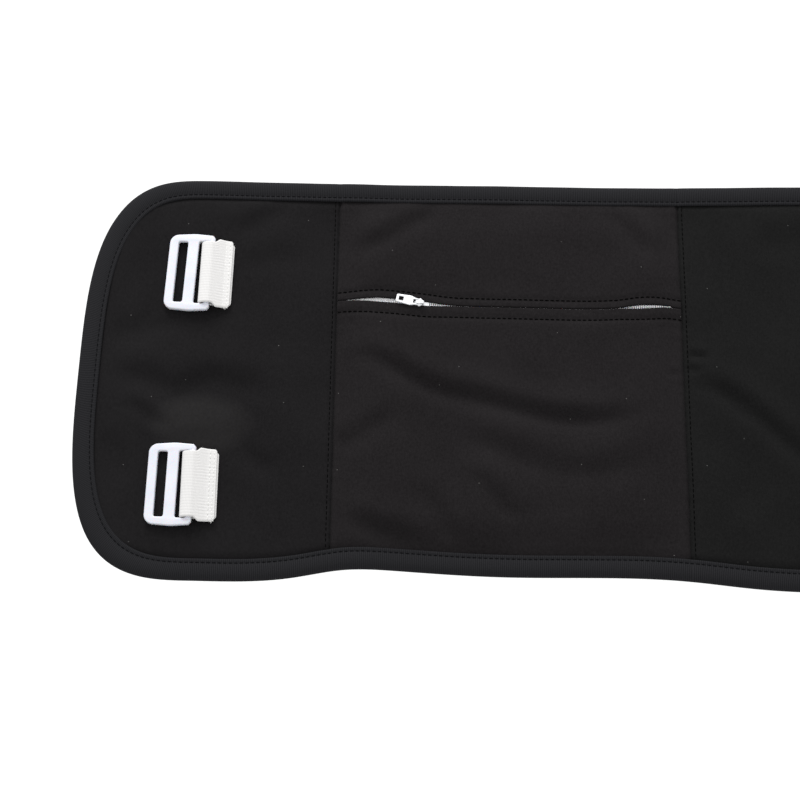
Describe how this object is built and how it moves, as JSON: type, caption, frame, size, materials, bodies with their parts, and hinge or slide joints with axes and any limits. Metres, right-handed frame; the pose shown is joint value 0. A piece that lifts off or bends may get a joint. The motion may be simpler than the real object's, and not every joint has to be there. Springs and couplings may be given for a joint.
{
  "type": "dive weight belt",
  "caption": "Flat padded fabric waist belt with zipped shot pockets, edge binding, slide buckles on one end and webbing straps on the other.",
  "frame": {"origin": "centre of the centre panel's back face, on the surface the belt lies on", "axes": "+X along the belt from the buckle end to the strap end, +Y towards the edge nearer the zips, +Z out of the front face"},
  "size_m": [1.2, 0.24, 0.011],
  "materials": {
    "shell_fabric": "matte",
    "foam": "matte",
    "lining_mesh": "matte",
    "edge_binding": "matte",
    "pocket_cloth": "matte",
    "shot_pad": "matte",
    "zip_tape": "matte",
    "zip_coil": "satin",
    "zip_slider": "gloss",
    "webbing": "matte",
    "buckle_plastic": "satin"
  },
  "bodies": {
    "centre": {"shell_centre": "shell_fabric", "foam_centre": "foam", "lining_centre": "lining_mesh", "binding_centre": "edge_binding"},
    "pocket_left": {"shell_pocket_upper_left": "shell_fabric", "shell_pocket_lower_left": "shell_fabric", "foam_pocket_left": "foam", "lining_pocket_left": "lining_mesh", "binding_pocket_left": "edge_binding", "pocket_bag_left": "pocket_cloth", "shot_pad_left": "shot_pad", "zip_tape_upper_left": "zip_tape", "zip_tape_lower_left": "zip_tape", "zip_coil_upper_left": "zip_coil", "zip_coil_lower_left": "zip_coil", "zip_end_stops_left": "zip_coil"},
    "slider_left": {"zip_slider_left": "zip_slider"},
    "pull_left": {"zip_pull_tab_left": "zip_slider"},
    "end_left": {"shell_end_left": "shell_fabric", "foam_end_left": "foam", "lining_end_left": "lining_mesh", "binding_end_left": "edge_binding", "webbing_loop_upper": "webbing", "webbing_loop_lower": "webbing"},
    "pocket_right": {"shell_pocket_upper_right": "shell_fabric", "shell_pocket_lower_right": "shell_fabric", "foam_pocket_right": "foam", "lining_pocket_right": "lining_mesh", "binding_pocket_right": "edge_binding", "pocket_bag_right": "pocket_cloth", "shot_pad_right": "shot_pad", "zip_tape_upper_right": "zip_tape", "zip_tape_lower_right": "zip_tape", "zip_coil_upper_right": "zip_coil", "zip_coil_lower_right": "zip_coil", "zip_end_stops_right": "zip_coil"},
    "slider_right": {"zip_slider_right": "zip_slider"},
    "pull_right": {"zip_pull_tab_right": "zip_slider"},
    "end_right": {"shell_end_right": "shell_fabric", "foam_end_right": "foam", "lining_end_right": "lining_mesh", "binding_end_right": "edge_binding", "strap_anchor_upper": "webbing", "strap_anchor_lower": "webbing"},
    "buckle_upper": {"slide_buckle_upper": "buckle_plastic"},
    "strap_upper": {"strap_tail_upper": "webbing"},
    "buckle_lower": {"slide_buckle_lower": "buckle_plastic"},
    "strap_lower": {"strap_tail_lower": "webbing"}
  },
  "joints": [
    {"name": "inner_fold_left", "type": "hinge", "parent": "centre", "child": "pocket_left", "pos_m": [-0.091, 0, 0.0021], "axis": [0, -1, 0], "range_deg": [-75, 75]},
    {"name": "outer_fold_left", "type": "hinge", "parent": "pocket_left", "child": "end_left", "pos_m": [-0.309, 0, 0.0021], "axis": [0, -1, 0], "range_deg": [-75, 75]},
    {"name": "inner_fold_right", "type": "hinge", "parent": "centre", "child": "pocket_right", "pos_m": [0.091, 0, 0.0021], "axis": [0, 1, 0], "range_deg": [-75, 75]},
    {"name": "outer_fold_right", "type": "hinge", "parent": "pocket_right", "child": "end_right", "pos_m": [0.309, 0, 0.0021], "axis": [0, 1, 0], "range_deg": [-75, 75]},
    {"name": "buckle_tilt_upper", "type": "hinge", "parent": "end_left", "child": "buckle_upper", "pos_m": [-0.3745, 0.0558, 0.0076], "axis": [0.0454, 0.999, 0], "range_deg": [0, 120]},
    {"name": "buckle_tilt_lower", "type": "hinge", "parent": "end_left", "child": "buckle_lower", "pos_m": [-0.3783, -0.0713, 0.0076], "axis": [0.0175, 0.9998, 0], "range_deg": [0, 120]},
    {"name": "zip_slide_left", "type": "slide", "parent": "pocket_left", "child": "slider_left", "axis": [1, 0, 0], "range_m": [-0.03, 0.136]},
    {"name": "pull_tilt_left", "type": "hinge", "parent": "slider_left", "child": "pull_left", "pos_m": [-0.252, 0.0395, 0.0081], "axis": [0.2079, 0.9781, 0], "range_deg": [0, 170]},
    {"name": "zip_slide_right", "type": "slide", "parent": "pocket_right", "child": "slider_right", "axis": [-1, 0, 0], "range_m": [-0.03, 0.136]},
    {"name": "pull_tilt_right", "type": "hinge", "parent": "slider_right", "child": "pull_right", "pos_m": [0.252, 0.0395, 0.0081], "axis": [0.2079, -0.9781, 0], "range_deg": [0, 170]},
    {"name": "strap_lift_upper", "type": "hinge", "parent": "end_right", "child": "strap_upper", "pos_m": [0.37, 0.0558, 0.00495], "axis": [0, -1, 0], "range_deg": [0, 120]},
    {"name": "strap_lift_lower", "type": "hinge", "parent": "end_right", "child": "strap_lower", "pos_m": [0.37, -0.0713, 0.00495], "axis": [0, -1, 0], "range_deg": [0, 120]}
  ]
}
